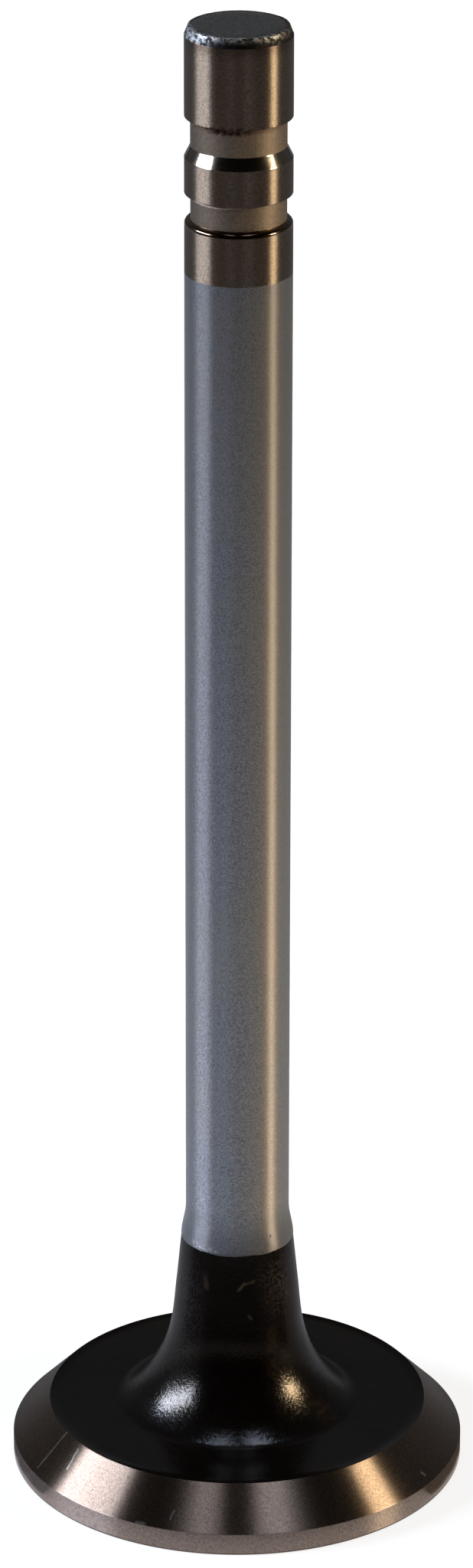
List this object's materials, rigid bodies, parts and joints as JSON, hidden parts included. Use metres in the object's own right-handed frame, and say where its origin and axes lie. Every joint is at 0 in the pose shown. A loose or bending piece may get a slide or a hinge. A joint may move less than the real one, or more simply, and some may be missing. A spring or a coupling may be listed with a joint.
{
  "type": "engine valve",
  "caption": "Poppet valve with a slim ground stem, two grooves near the tip, a tulip neck and a flat head with a conical ground face.",
  "frame": {"origin": "centre of the flat combustion face of the head", "axes": "+Z along the stem from the head to the tip; the part is turned about Z, so X and Y are free"},
  "size_m": [0.0381, 0.038, 0.1257],
  "materials": {
    "valve_steel": "ground and satin plated stem, dark heat scale on the neck"
  },
  "bodies": {
    "root": {"valve": "valve_steel"}
  },
  "joints": []
}
